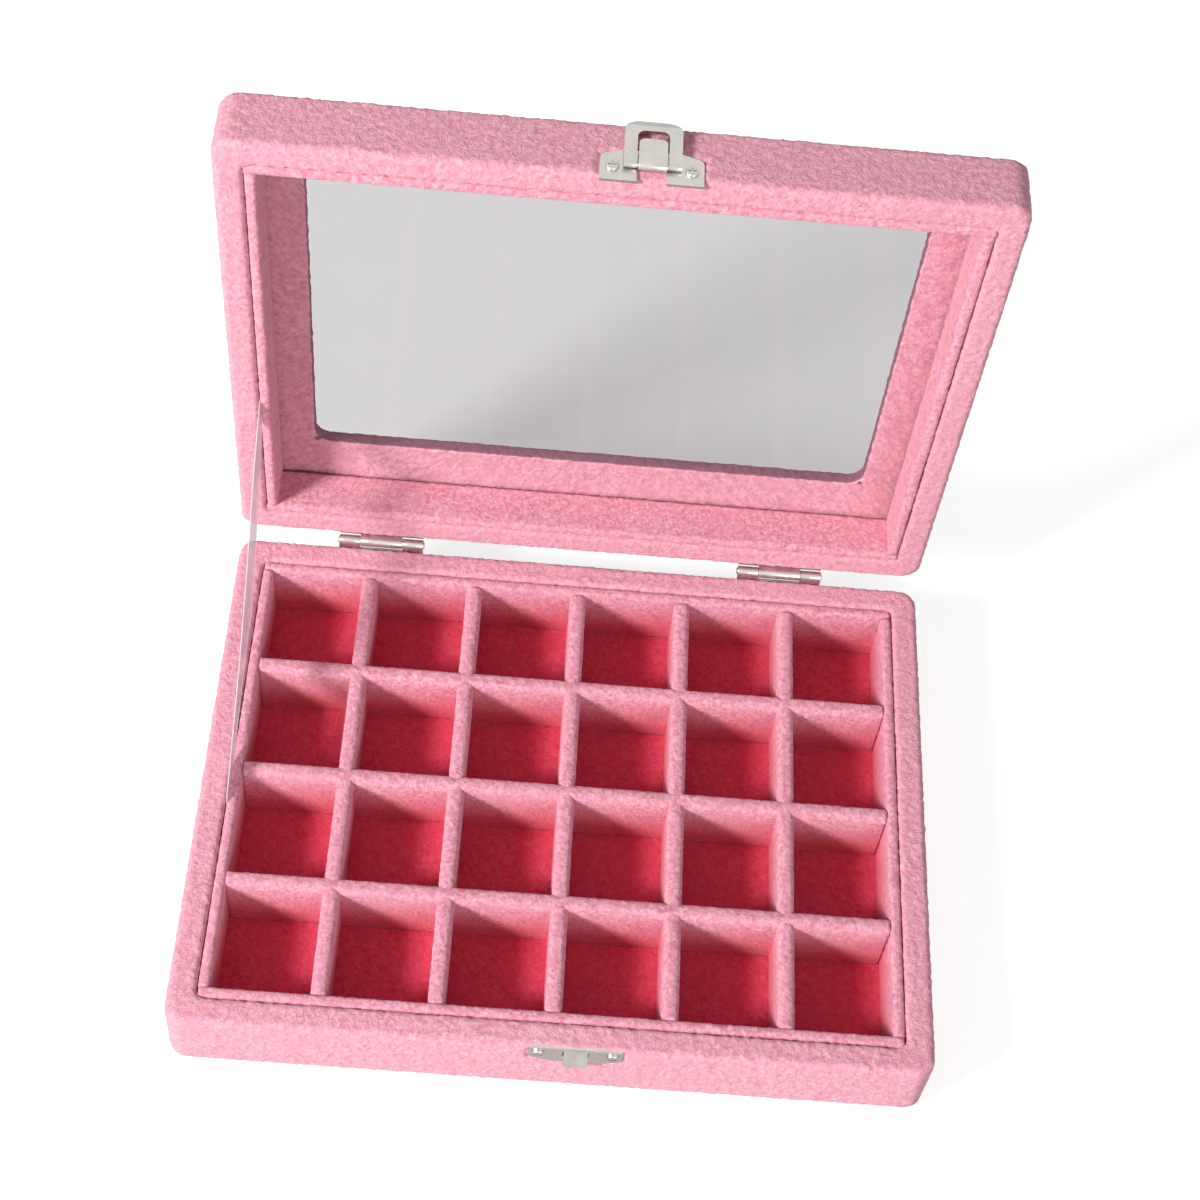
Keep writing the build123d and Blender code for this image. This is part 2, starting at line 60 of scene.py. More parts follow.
# %% [markdown]
# ## Sizes
# Only the sizes that the new meshes need are written here. They are the ones of the model,
# in metres, with the lid measured as if it were shut. A function then swings a lid point
# open about the hinge line, so the lid can be thought of lying flat.

# %% Sizes of the case
mm = 0.001
half_x, half_y = 100 * mm, 77 * mm
base_top, hem_level = 23.4 * mm, 0.4 * mm
board_level = 3.2 * mm
rim = 7.5 * mm
lid_rim, lid_top = 24.8 * mm, 43.3 * mm
pane_level, pane_front = 39.3 * mm, 38.1 * mm
hinge_y, hinge_z = 78.65 * mm, 24.1 * mm
latch_x = 6.4 * mm
window = (79.5 * mm, 53.5 * mm)
window_shift = -1.5 * mm


def swung_open(point):
    """A point of the shut lid, turned back a quarter turn about the hinge line."""
    x, y, z = point
    return (x, hinge_y + (z - hinge_z), hinge_z - (y - hinge_y))


print("lid's far edge stands at", swung_open((0, -half_y, lid_top)))

# %% [markdown]
# ## The camera
# The photograph looks down at the case from the front, turned a few degrees and tilted a little.
# Its angle, distance and lens were worked out from the case's corners, so the render can be
# laid over the photograph. The aim is a point on the table, and the tilt turns the camera
# about its own line of sight.

# %% Camera
camera_height_angle = math.radians(54.89)
camera_turn = math.radians(-3.67)
camera_tilt = math.radians(7.53)
camera_aim = Vector((7.40, 81.02, 0)) * mm
camera_distance = 697.36 * mm
focal_pixels = 2285.03

back = Vector((
    math.sin(camera_turn) * math.cos(camera_height_angle),
    -math.cos(camera_turn) * math.cos(camera_height_angle),
    math.sin(camera_height_angle),
))
level_right = Vector((math.cos(camera_turn), math.sin(camera_turn), 0))
level_up = back.cross(level_right)
right = level_right * math.cos(camera_tilt) + level_up * math.sin(camera_tilt)
up = level_up * math.cos(camera_tilt) - level_right * math.sin(camera_tilt)

camera_data = bpy.data.cameras.new("camera")
camera_data.sensor_width = 36
camera_data.lens = focal_pixels / 1200 * camera_data.sensor_width
camera_data.clip_start = 0.01
camera = bpy.data.objects.new("camera", camera_data)
bpy.context.scene.collection.objects.link(camera)
turned = Matrix((right, up, back)).transposed().to_4x4()
camera.matrix_world = Matrix.Translation(camera_aim + back * camera_distance) @ turned
bpy.context.scene.camera = camera
bpy.context.scene.view_settings.view_transform = "Standard"
print("lens", round(camera_data.lens, 1), "mm")

# %% [markdown]
# ## Light and backdrop
# A broad lamp high on the left front gives each cell its slanting shadow, and a pale sky fills
# the rest. The white around the case is the floor's and sky's own colour as the camera, mirrors
# and glass see them, so it adds no light to the velvet.

# %% Lamps
def area_lamp(name, place, aim, size, power):
    """A square lamp at place, turned towards aim."""
    data = bpy.data.lights.new(name, "AREA")
    data.size = size
    data.energy = power
    lamp = bpy.data.objects.new(name, data)
    lamp.location = place
    lamp.rotation_euler = (Vector(aim) - Vector(place)).to_track_quat("-Z", "Y").to_euler()
    bpy.context.scene.collection.objects.link(lamp)
    return lamp


area_lamp("key", (-1.02, -0.66, 0.80), (0, 0.02, 0.02), 0.30, 27)
area_lamp("front fill", (0.75, -1.35, 0.65), (0, 0, 0.05), 0.9, 9)

# %% Sky and floor
sky = bpy.data.worlds.new("sky")
bpy.context.scene.world = sky
sky.use_nodes = True
tree = sky.node_tree
tree.nodes.clear()
path = tree.nodes.new("ShaderNodeLightPath")
seen = tree.nodes.new("ShaderNodeMath")
seen.operation = "MAXIMUM"
tree.links.new(path.outputs["Is Camera Ray"], seen.inputs[0])
clear = tree.nodes.new("ShaderNodeMath")
clear.operation = "MAXIMUM"
tree.links.new(path.outputs["Is Glossy Ray"], clear.inputs[0])
tree.links.new(path.outputs["Is Transmission Ray"], clear.inputs[1])
tree.links.new(clear.outputs[0], seen.inputs[1])
strength = tree.nodes.new("ShaderNodeMapRange")
strength.inputs["To Min"].default_value = 0.26
strength.inputs["To Max"].default_value = 1.0
tree.links.new(seen.outputs[0], strength.inputs["Value"])
light = tree.nodes.new("ShaderNodeBackground")
light.inputs["Color"].default_value = (1, 1, 1, 1)
tree.links.new(strength.outputs["Result"], light.inputs["Strength"])
world_out = tree.nodes.new("ShaderNodeOutputWorld")
tree.links.new(light.outputs[0], world_out.inputs["Surface"])


def floor_material():
    """White paper that looks a little brighter to the camera and still takes the case's shadow."""
    paper = bpy.data.materials.new("white paper")
    paper.use_nodes = True
    nt = paper.node_tree
    shader = nt.nodes["Principled BSDF"]
    shader.inputs["Base Color"].default_value = (0.52, 0.52, 0.52, 1)
    shader.inputs["Roughness"].default_value = 0.9
    shader.inputs["Emission Color"].default_value = (1, 1, 1, 1)
    path = nt.nodes.new("ShaderNodeLightPath")
    share = nt.nodes.new("ShaderNodeMath")
    share.operation = "MULTIPLY"
    share.inputs[1].default_value = 0.75
    nt.links.new(path.outputs["Is Camera Ray"], share.inputs[0])
    nt.links.new(share.outputs[0], shader.inputs["Emission Strength"])
    return paper


def make_floor():
    """A wide flat sheet just under the case."""
    mesh = bpy.data.meshes.new("floor")
    far = 3.0
    mesh.from_pydata([(-far, -far, 0), (far, -far, 0), (far, far, 0), (-far, far, 0)], [], [(0, 1, 2, 3)])
    floor = bpy.data.objects.new("floor", mesh)
    bpy.context.scene.collection.objects.link(floor)
    floor.data.materials.append(floor_material())


make_floor()

# %% [markdown]
# ## The plush finish
# Short plush shows two things: tufts that stand and lean, and soft patches where the pile was
# brushed one way. The tufts are real bumps in the mesh, and each mesh carries how high it stands
# at each point, so the colour follows the same tufts: painted shade between them and a painted
# highlight on their tips. A finer bump and a sheen on the shader give the hair between them.
# Low in the cells the tray's plush gets painted shade that darkens towards the floor, and the plush on
# the tray's floor is painted a dark crimson for the same shade.

# %% Small node helpers
def mix_colours(nt, factor, low, high):
    """Blends two colours, each a link or a plain value, and gives the result socket."""
    mix = nt.nodes.new("ShaderNodeMix")
    mix.data_type = "RGBA"
    for value, socket in ((factor, mix.inputs[0]), (low, mix.inputs[6]), (high, mix.inputs[7])):
        if isinstance(value, bpy.types.NodeSocket):
            nt.links.new(value, socket)
        else:
            socket.default_value = value
    return mix.outputs[2]


def object_noise(nt, scale, detail=2.0, roughness=0.55, distortion=0.0):
    """Cloudy noise over the piece's own coordinates."""
    place = nt.nodes.new("ShaderNodeTexCoord")
    noise = nt.nodes.new("ShaderNodeTexNoise")
    noise.inputs["Scale"].default_value = scale
    noise.inputs["Detail"].default_value = detail
    noise.inputs["Roughness"].default_value = roughness
    noise.inputs["Distortion"].default_value = distortion
    nt.links.new(place.outputs["Object"], noise.inputs["Vector"])
    return noise.outputs["Fac"]


def spread(nt, value, low, high):
    """Stretches the stretch from low to high over nought to one."""
    ramp = nt.nodes.new("ShaderNodeMapRange")
    ramp.inputs["From Min"].default_value = low
    ramp.inputs["From Max"].default_value = high
    nt.links.new(value, ramp.inputs["Value"])
    return ramp.outputs["Result"]


# %% Plush material
def plush(name, shade_between_tufts, body, highlight_on_tufts, patchy, painted_shade_low=None):
    """Pink plush: painted shade between tufts, a painted highlight on them, brushed patches, and painted
    shade low down.
    """
    material = bpy.data.materials.new(name)
    material.use_nodes = True
    nt = material.node_tree
    shader = nt.nodes["Principled BSDF"]
    height = nt.nodes.new("ShaderNodeAttribute")
    height.attribute_name = "tuft"
    tufts = spread(nt, height.outputs["Fac"], 0.34, 0.66)
    curls = spread(nt, object_noise(nt, 900, 3.0, 0.65, 0.4), 0.38, 0.62)
    patches = spread(nt, object_noise(nt, 75, 3.0, 0.6, 0.3), 0.40, 0.66)
    hairs = spread(nt, object_noise(nt, 3000, 2.0, 0.6, 0.3), 0.3, 0.7)
    # Painted light: the colour runs from painted shade to a painted highlight as the tufts and the curl
    # bump rise.
    painted_tuft_light = nt.nodes.new("ShaderNodeMath")
    painted_tuft_light.operation = "MULTIPLY_ADD"
    painted_tuft_light.inputs[1].default_value = 0.4
    nt.links.new(tufts, painted_tuft_light.inputs[0])
    curled = nt.nodes.new("ShaderNodeMath")
    curled.operation = "MULTIPLY"
    curled.inputs[1].default_value = 0.6
    nt.links.new(curls, curled.inputs[0])
    nt.links.new(curled.outputs[0], painted_tuft_light.inputs[2])
    colour = mix_colours(nt, painted_tuft_light.outputs[0], shade_between_tufts, highlight_on_tufts)
    worn = nt.nodes.new("ShaderNodeMath")
    worn.operation = "MULTIPLY"
    worn.inputs[1].default_value = patchy
    nt.links.new(patches, worn.inputs[0])
    colour = mix_colours(nt, worn.outputs[0], colour, body)
    # Painted shade: near the tray's floor the colour darkens to crimson, for the shade low in the cells.
    if painted_shade_low:
        place = nt.nodes.new("ShaderNodeTexCoord")
        apart = nt.nodes.new("ShaderNodeSeparateXYZ")
        nt.links.new(place.outputs["Object"], apart.inputs[0])
        low = nt.nodes.new("ShaderNodeMapRange")
        low.inputs["From Min"].default_value = base_top - 2.5 * mm
        low.inputs["From Max"].default_value = board_level + 4.5 * mm
        low.inputs["To Max"].default_value = 0.85
        nt.links.new(apart.outputs["Z"], low.inputs["Value"])
        colour = mix_colours(nt, low.outputs["Result"], colour, painted_shade_low)
    nt.links.new(colour, shader.inputs["Base Color"])
    shader.inputs["Roughness"].default_value = 0.9
    shader.inputs["Specular IOR Level"].default_value = 0.1
    shader.inputs["Sheen Weight"].default_value = 0.3
    shader.inputs["Sheen Roughness"].default_value = 0.5
    shader.inputs["Sheen Tint"].default_value = (1.0, 0.78, 0.84, 1)
    hair_bump = nt.nodes.new("ShaderNodeBump")
    hair_bump.inputs["Strength"].default_value = 0.4
    hair_bump.inputs["Distance"].default_value = 0.00015
    nt.links.new(hairs, hair_bump.inputs["Height"])
    curl_bump = nt.nodes.new("ShaderNodeBump")
    curl_bump.inputs["Strength"].default_value = 0.5
    curl_bump.inputs["Distance"].default_value = 0.00025
    nt.links.new(curls, curl_bump.inputs["Height"])
    nt.links.new(hair_bump.outputs["Normal"], curl_bump.inputs["Normal"])
    nt.links.new(curl_bump.outputs["Normal"], shader.inputs["Normal"])
    return material


case_plush = plush(
    "case plush", (0.66, 0.22, 0.30, 1), (0.77, 0.33, 0.42, 1), (0.86, 0.47, 0.55, 1), 0.5
)
# The tray plush carries painted shade low in its cells.
tray_plush = plush(
    "tray plush", (0.60, 0.16, 0.24, 1), (0.77, 0.31, 0.40, 1), (0.90, 0.48, 0.56, 1), 0.35,
    painted_shade_low=(0.66, 0.04, 0.09, 1),
)
# Painted shade: the plush on the tray's floor is a dark crimson that stands in for the shade at the
# bottom of the cells.
floor_plush_painted_shade = plush(
    "floor plush with painted shade", (0.66, 0.04, 0.09, 1), (0.78, 0.07, 0.14, 1), (0.86, 0.12, 0.20, 1), 0.4
)

# %% [markdown]
# ## Raising the tufts
# A node tree pushes every point of a mesh out or in by a cloudy noise and writes the noise
# down as an attribute. It works on any piece, so the size and depth of the tufts are its inputs.
# The tree's result is then kept as a plain mesh.

# %% Tuft tree
def make_tuft_tree():
    """Geometry nodes that raise tufts along the surface's normals."""
    tree = bpy.data.node_groups.new("plush tufts", "GeometryNodeTree")
    face = tree.interface
    face.new_socket("Geometry", in_out="INPUT", socket_type="NodeSocketGeometry")
    size = face.new_socket("Tuft size", in_out="INPUT", socket_type="NodeSocketFloat")
    size.default_value = 1.4 * mm
    depth = face.new_socket("Tuft depth", in_out="INPUT", socket_type="NodeSocketFloat")
    depth.default_value = 0.4 * mm
    finish = face.new_socket("Finish", in_out="INPUT", socket_type="NodeSocketMaterial")
    face.new_socket("Geometry", in_out="OUTPUT", socket_type="NodeSocketGeometry")
    sockets = {"size": size.identifier, "depth": depth.identifier, "finish": finish.identifier}

    start = tree.nodes.new("NodeGroupInput")
    end = tree.nodes.new("NodeGroupOutput")
    scale = tree.nodes.new("ShaderNodeMath")
    scale.operation = "DIVIDE"
    scale.inputs[0].default_value = 1.0
    tree.links.new(start.outputs["Tuft size"], scale.inputs[1])
    noise = tree.nodes.new("ShaderNodeTexNoise")
    noise.inputs["Detail"].default_value = 2.0
    noise.inputs["Roughness"].default_value = 0.55
    noise.inputs["Distortion"].default_value = 0.4
    tree.links.new(scale.outputs[0], noise.inputs["Scale"])
    # The kept height also sets the plush's painted shade and painted highlight.
    kept = tree.nodes.new("GeometryNodeStoreNamedAttribute")
    kept.data_type = "FLOAT"
    kept.domain = "POINT"
    kept.inputs["Name"].default_value = "tuft"
    tree.links.new(start.outputs["Geometry"], kept.inputs["Geometry"])
    tree.links.new(noise.outputs["Fac"], kept.inputs["Value"])

    centred = tree.nodes.new("ShaderNodeMath")
    centred.operation = "SUBTRACT"
    centred.inputs[1].default_value = 0.5
    tree.links.new(noise.outputs["Fac"], centred.inputs[0])
    push = tree.nodes.new("ShaderNodeMath")
    push.operation = "MULTIPLY"
    tree.links.new(centred.outputs[0], push.inputs[0])
    tree.links.new(start.outputs["Tuft depth"], push.inputs[1])
    normal = tree.nodes.new("GeometryNodeInputNormal")
    along = tree.nodes.new("ShaderNodeVectorMath")
    along.operation = "SCALE"
    tree.links.new(normal.outputs[0], along.inputs[0])
    tree.links.new(push.outputs[0], along.inputs["Scale"])
    moved = tree.nodes.new("GeometryNodeSetPosition")
    tree.links.new(kept.outputs["Geometry"], moved.inputs["Geometry"])
    tree.links.new(along.outputs[0], moved.inputs["Offset"])
    real = tree.nodes.new("GeometryNodeRealizeInstances")
    tree.links.new(moved.outputs["Geometry"], real.inputs["Geometry"])
    painted = tree.nodes.new("GeometryNodeSetMaterial")
    tree.links.new(real.outputs["Geometry"], painted.inputs["Geometry"])
    tree.links.new(start.outputs["Finish"], painted.inputs["Material"])
    tree.links.new(painted.outputs["Geometry"], end.inputs["Geometry"])
    return tree, sockets


tuft_tree, tuft_sockets = make_tuft_tree()


def raise_tufts(name, mesh, size, depth, finish):
    """A finished plush object from a smooth closed mesh."""
    rough = bpy.data.objects.new(name + " smooth", mesh)
    bpy.context.scene.collection.objects.link(rough)
    modifier = rough.modifiers.new("tufts", "NODES")
    modifier.node_group = tuft_tree
    modifier[tuft_sockets["size"]] = size
    modifier[tuft_sockets["depth"]] = depth
    modifier[tuft_sockets["finish"]] = finish
    held = bpy.context.evaluated_depsgraph_get()
    done = bpy.data.meshes.new_from_object(rough.evaluated_get(held))
    bpy.data.objects.remove(rough)
    done.name = name
    done.polygons.foreach_set("use_smooth", [True] * len(done.polygons))
    piece = bpy.data.objects.new(name, done)
    bpy.context.scene.collection.objects.link(piece)
    print(name, len(done.polygons), "faces")
    return piece


# %% [markdown]
# ## Wrapped frames
# The base and the lid are frames: the same rounded rectangle again and again, wider, narrower,
# higher or lower. Each ring below is one such rectangle, and skinning ring to ring gives
# the wrap with its soft outer edge, flat rim and tight inner edge. The loop closes
# on itself inside, so the frame is a solid ring.

# %% Ring and skin
def ring_points(hx, hy, radius, shift, z, per_side, per_corner):
    """Points round a rounded rectangle, always the same number and order."""
    points = []
    corners = ((1, 1, 0), (-1, 1, 90), (-1, -1, 180), (1, -1, 270))
    for number, (sx, sy, start) in enumerate(corners):
        cx, cy = sx * (hx - radius), sy * (hy - radius)
        for i in range(per_corner + 1):
            a = math.radians(start + 90 * i / per_corner)
            points.append((cx + radius * math.cos(a), cy + radius * math.sin(a) + shift, z))
        nx, ny, turn = corners[(number + 1) % 4]
        a = math.radians(turn)
        ex = nx * (hx - radius) + radius * math.cos(a)
        ey = ny * (hy - radius) + radius * math.sin(a) + shift
        sx0, sy0 = points[-1][0], points[-1][1]
        count = per_side[number % 2]
        for i in range(1, count):
            t = i / count
            points.append((sx0 + (ex - sx0) * t, sy0 + (ey - sy0) * t, z))
    return points


def skin(name, rings, place=None, closed=True):
    """A mesh skinned over rings of equal count, in order, optionally closing on the first."""
    count = len(rings[0])
    verts = [place(p) if place else p for ring in rings for p in ring]
    faces = []
    last = len(rings) if closed else len(rings) - 1
    for r in range(last):
        a, b = r * count, ((r + 1) % len(rings)) * count
        for i in range(count):
            j = (i + 1) % count
            faces.append((a + i, a + j, b + j, b + i))
    mesh = bpy.data.meshes.new(name)
    mesh.from_pydata(verts, [], faces)
    whole = bmesh.new()
    whole.from_mesh(mesh)
    bmesh.ops.recalc_face_normals(whole, faces=whole.faces)
    whole.to_mesh(mesh)
    whole.free()
    return mesh


def walk(corners):
    """A closed section through (across, level, radius, step) corners, rounded and divided.

    The step is how finely the run after that corner is divided."""
    path = []
    count = len(corners)
    for i in range(count):
        across, level, radius, step = corners[i]
        here = Vector((across, level))
        if radius == 0:
            path.append((here, step))
            continue
        before = (Vector(corners[i - 1][:2]) - here).normalized()
        after = (Vector(corners[(i + 1) % count][:2]) - here).normalized()
        half = before.angle(after) / 2
        reach = radius / math.tan(half)
        centre = here + (before + after).normalized() * (radius / math.sin(half))
        a, b = here + before * reach - centre, here + after * reach - centre
        turn = math.atan2(a.x * b.y - a.y * b.x, a.dot(b))
        pieces = max(3, round(radius * abs(turn) / min(step, corners[i - 1][3])))
        for k in range(pieces + 1):
            spin = Matrix.Rotation(turn * k / pieces, 2)
            path.append((centre + spin @ a, step))
    fine = []
    for i, (p, step) in enumerate(path):
        q = path[(i + 1) % len(path)][0]
        pieces = max(1, round((q - p).length / step))
        fine += [p + (q - p) * (k / pieces) for k in range(pieces)]
    return fine


# %% Base wrap
fine, coarse = 0.62 * mm, 2.0 * mm
tuft_size, case_tuft_depth = 1.5 * mm, 1.0 * mm
plush_pressed_to = -76.35 * mm
press_falloff = 1.1 * mm
ear_slant = 1.9 * mm


def press_plate(point, low, high, neck, half):
    """Presses the plush in under a plate on the front, from its straight edge to its narrow one."""
    x, y, z = point
    if y > plush_pressed_to:
        return point
    side = abs(x - latch_x)
    tall = abs(high - low)
    up = (z - low) if high > low else (low - z)
    slant = min(1.0, max(0.0, (half - side) / (half - neck)))
    beyond = max(side - half, up - (tall - ear_slant * (1 - slant)), -up)
    share = min(1.0, max(0.0, 1 - beyond / press_falloff))
    share = share * share * (3 - 2 * share)
    return (x, y + (plush_pressed_to - y) * share, z)


def press_plates(point):
    """The dents of the latch plate on the lid and the catch plate on the base."""
    point = press_plate(point, 23.7 * mm, 34.1 * mm, 7.3 * mm, 12.7 * mm)
    return press_plate(point, 23.1 * mm, 15.5 * mm, 5.8 * mm, 12.2 * mm)


def wrap_rings(section, shape_at, step):
    """One ring for each point of the section; shape_at turns the point into a rectangle."""
    counts = (round(2 * half_x / step), round(2 * half_y / step))
    rings = []
    for across, level in section:
        hx, hy, radius, shift = shape_at(across, level)
        ring = ring_points(hx, hy, radius, shift, level, counts, 8)
        rings.append([press_plates(point) for point in ring])
    return rings


def base_shape(across, level):
    """The base's wrap: the same inset on all sides, with tighter corners inside."""
    return half_x - across, half_y - across, (5 * mm - across * 0.27), 0


base_section = walk([
    (0, hem_level, 1.2 * mm, fine),
    (0, base_top, 1.8 * mm, fine),
    (rim, base_top, 1.4 * mm, coarse),
    (rim, board_level, 0, coarse),
])
base_mesh = skin("base wrap", wrap_rings(base_section, base_shape, fine))
base_wrap = raise_tufts("base_wrap", base_mesh, tuft_size, case_tuft_depth, case_plush)
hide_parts("base_cover")
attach(base_wrap, "base")

# %% [markdown]
# ## The lid's wrap
# The lid is a frame too, but its top is a wide border round the window, and the window sits
# a little nearer the latch than the middle. So the ring's shape depends on where the section is:
# on the rim it is inset evenly, and on the top and behind the pane it runs out to the window.

# %% Lid wrap
border_x, border_y = half_x - window[0], half_y - window[1]


def lid_shape(across, level):
    """The lid's wrap at a point of its section."""
    if across > rim - 1e-6 and level < pane_level + 1e-6:
        share = (across - rim) / (border_x - rim)
        hx = half_x - rim + (window[0] - half_x + rim) * share
        hy = half_y - rim + (window[1] - half_y + rim) * share
        return hx, hy, 3 * mm + 2 * mm * share, window_shift * share
    if level > (lid_rim + lid_top) / 2:
        share = across / border_x
        return half_x - across, half_y - border_y * share, 5 * mm, window_shift * share
    return half_x - across, half_y - across, 5 * mm - across * 0.27, 0


lid_section = walk([
    (0, lid_rim, 1.8 * mm, fine),
    (0, lid_top, 1.8 * mm, 0.75 * mm),
    (border_x, lid_top, 0.9 * mm, 1.0 * mm),
    (border_x, pane_level, 0, 0.9 * mm),
    (rim, pane_level, 0, coarse),
    (rim, lid_rim, 1.4 * mm, fine),
])
lid_mesh = skin("lid wrap", wrap_rings(lid_section, lid_shape, 0.72 * mm), swung_open)
lid_wrap = raise_tufts("lid_wrap", lid_mesh, tuft_size, case_tuft_depth, case_plush)
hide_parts("lid_cover", "lid_window_facing")
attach(lid_wrap, "lid")

# %% [markdown]
# ## Tray, dividers and linings
# Every wall, divider and lining strip is the same thing: a bar of board under plush, square below
# and rounded along its top. One helper sweeps a section along a straight line and closes its ends,
# and each piece takes its place from the model's box.

# %% Wrapped bars
bar_step = 0.7 * mm


def plush_bar(name, axis, low, high, radius, top=1, place=None):
    """A bar from corner low to corner high along axis 0 or 1, rounded on its upper or lower edges."""
    side = 1 - axis
    z_flat, z_round = (low[2], high[2]) if top == 1 else (high[2], low[2])
    section = walk([
        (low[side], z_flat, 0, bar_step),
        (high[side], z_flat, 0, bar_step),
        (high[side], z_round, radius, bar_step),
        (low[side], z_round, radius, bar_step),
    ])
    stations = max(2, round((high[axis] - low[axis]) / bar_step))
    verts, faces = [], []
    count = len(section)
    for i in range(stations + 1):
        along = low[axis] + (high[axis] - low[axis]) * i / stations
        for across, level in section:
            point = (along, across, level) if axis == 0 else (across, along, level)
            verts.append(place(point) if place else point)
    for i in range(stations):
        for k in range(count):
            n = (k + 1) % count
            faces.append((i * count + k, i * count + n, (i + 1) * count + n, (i + 1) * count + k))
    faces.append(tuple(range(count)))
    faces.append(tuple(stations * count + k for k in range(count)))
    mesh = bpy.data.meshes.new(name)
    mesh.from_pydata(verts, [], faces)
    whole = bmesh.new()
    whole.from_mesh(mesh)
    bmesh.ops.recalc_face_normals(whole, faces=whole.faces)
    bmesh.ops.triangulate(whole, faces=[f for f in whole.faces if len(f.verts) > 4])
    whole.to_mesh(mesh)
    whole.free()
    return mesh


def place_bar(name, mesh, nodes_replaced, body, size, depth, finish=tray_plush):
    """Raises a bar's tufts, and hangs it on its body in place of the model's node."""
    piece = raise_tufts(name, mesh, size, depth, finish)
    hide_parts(*nodes_replaced)
    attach(piece, body)
    return piece


# %% Tray walls, dividers and floor
tray_bars = [("tray_front_wall", 0, 1.1), ("tray_back_wall", 0, 1.1)]
tray_bars += [("tray_left_wall", 1, 1.1), ("tray_right_wall", 1, 1.1)]
tray_bars += [(f"tray_long_divider_{n}", 0, 1.7) for n in (1, 2, 3)]
tray_bars += [(f"tray_cross_divider_{n}", 1, 1.7) for n in (1, 2, 3, 4, 5)]
seam_sides = {
    "tray_front_wall": ("low", 1, -1), "tray_back_wall": ("high", 1, 1),
    "tray_left_wall": ("low", 0, -1), "tray_right_wall": ("high", 0, 1),
}
for node, axis, radius in tray_bars:
    low, high = (Vector(corner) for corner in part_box(node))
    if node.startswith("tray_cross"):
        high.z -= 0.15 * mm
    if node in seam_sides:
        corner, axis_out, way = seam_sides[node]
        (low if corner == "low" else high)[axis_out] += way * 0.42 * mm
    bar = plush_bar(node, axis, low, high, radius * mm)
    place_bar(node + "_plush", bar, [node], "base", tuft_size, 0.5 * mm)

low, high = (Vector(corner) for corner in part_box("tray_floor_pad"))
bar_step = 1.1 * mm
floor_pad = plush_bar("floor pad", 0, low, high, 0.3 * mm)
place_bar(
    "tray_floor_plush", floor_pad, ["tray_floor_pad"], "base", tuft_size, 0.35 * mm, floor_plush_painted_shade
)

# %% Lid lining
bar_step = 0.7 * mm
lining_x, lining_y, lining = 92.3 * mm, 69.3 * mm, 3.0 * mm
lining_low, lining_high = lid_rim + 0.3 * mm, pane_front
lining_boxes = {
    "front": (0, (-lining_x, -lining_y), (lining_x, lining - lining_y)),
    "back": (0, (-lining_x, lining_y - lining), (lining_x, lining_y)),
    "left": (1, (-lining_x, lining - lining_y), (lining - lining_x, lining_y - lining)),
    "right": (1, (lining_x - lining, lining - lining_y), (lining_x, lining_y - lining)),
}
for side, (axis, near, far) in lining_boxes.items():
    mesh = plush_bar(
        side + " lining", axis, (*near, lining_low), (*far, lining_high), 1.0 * mm, -1, swung_open
    )
    place_bar(f"lid_{side}_lining", mesh, [f"lid_{side}_liner"], "lid", tuft_size, 0.45 * mm)

# %% [markdown]
# ## Metal
# The latch, catch and hinges are thin nickel-plated sheet. Stamped sheet has no knife edges, so each
# piece is a merged copy of the model's solid with a small bevel, which catches the light. The plate
# is bright but not a mirror: fine rubbing gives it uneven gloss.

# %% Nickel
def metal(name, colour, roughness, rubbed):
    """Plated metal with faint rubbing marks."""
    material = bpy.data.materials.new(name)
    material.use_nodes = True
    nt = material.node_tree
    shader = nt.nodes["Principled BSDF"]
    shader.inputs["Metallic"].default_value = 1.0
    marks = spread(nt, object_noise(nt, 260, 4.0, 0.7), 0.3, 0.75)
    worn = tuple(channel * 0.86 for channel in colour[:3]) + (1,)
    nt.links.new(mix_colours(nt, marks, worn, colour), shader.inputs["Base Color"])
    gloss = nt.nodes.new("ShaderNodeMapRange")
    gloss.inputs["To Min"].default_value = roughness
    gloss.inputs["To Max"].default_value = roughness + rubbed
    nt.links.new(marks, gloss.inputs["Value"])
    nt.links.new(gloss.outputs["Result"], shader.inputs["Roughness"])
    bump = nt.nodes.new("ShaderNodeBump")
    bump.inputs["Strength"].default_value = 0.25
    bump.inputs["Distance"].default_value = 0.00004
    nt.links.new(object_noise(nt, 900, 3.0, 0.6), bump.inputs["Height"])
    nt.links.new(bump.outputs["Normal"], shader.inputs["Normal"])
    return material


nickel = metal("nickel plate", (0.70, 0.67, 0.63, 1), 0.18, 0.16)
screw_metal = metal("screw plating", (0.66, 0.64, 0.61, 1), 0.24, 0.14)
pin_metal = metal("pin wire", (0.55, 0.54, 0.52, 1), 0.3, 0.15)


def soften(node, body, finish, width):
    """A copy of a metal node with its edges eased."""
    mesh = nodes[node].data.copy()
    whole = bmesh.new()
    whole.from_mesh(mesh)
    bmesh.ops.remove_doubles(whole, verts=whole.verts, dist=0.002 * mm)
    bmesh.ops.dissolve_limit(whole, angle_limit=math.radians(1.5), verts=whole.verts, edges=whole.edges)
    whole.to_mesh(mesh)
    whole.free()
    rough = bpy.data.objects.new(node + " sharp", mesh)
    bpy.context.scene.collection.objects.link(rough)
    bevel = rough.modifiers.new("eased", "BEVEL")
    bevel.width = width
    bevel.segments = 2
    bevel.limit_method = "ANGLE"
    bevel.angle_limit = math.radians(40)
    held = bpy.context.evaluated_depsgraph_get()
    done = bpy.data.meshes.new_from_object(rough.evaluated_get(held))
    bpy.data.objects.remove(rough)
    done.materials.clear()
    done.materials.append(finish)
    piece = bpy.data.objects.new(node + "_eased", done)
    bpy.context.scene.collection.objects.link(piece)
    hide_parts(node)
    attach(piece, body)
    print(node, len(done.polygons), "faces")
    return piece


